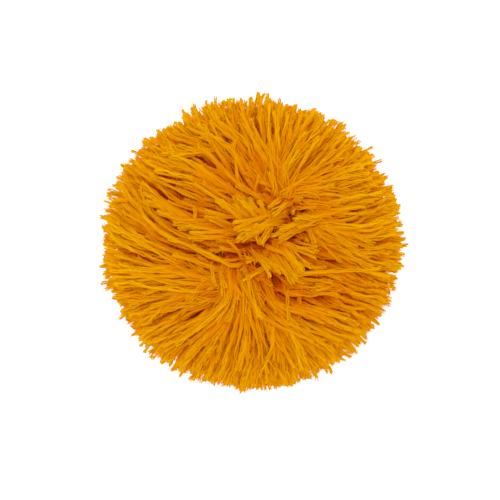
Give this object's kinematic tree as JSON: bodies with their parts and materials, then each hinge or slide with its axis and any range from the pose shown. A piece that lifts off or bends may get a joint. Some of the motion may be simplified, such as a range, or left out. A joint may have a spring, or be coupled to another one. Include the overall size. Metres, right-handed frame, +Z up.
{
  "type": "yarn pom pom",
  "caption": "Round ball of cut yarn whose strands fan out of a hidden bound middle, parted and combed over on top and flattened a little where it rests.",
  "frame": {"origin": "on the surface that the ball rests on, under the bound middle, on the cut end of the lowest lock", "axes": "+Z up through the bound middle; +Y along the parting on top; -Z out of the lowest cut end"},
  "size_m": [0.0894, 0.0891, 0.0831],
  "materials": {
    "mustard_yarn": "soft matte plied yarn in mustard yellow, with frayed cut ends and darker, more orange gaps"
  },
  "bodies": {
    "root": {"pom_pom": "mustard_yarn"}
  },
  "joints": []
}
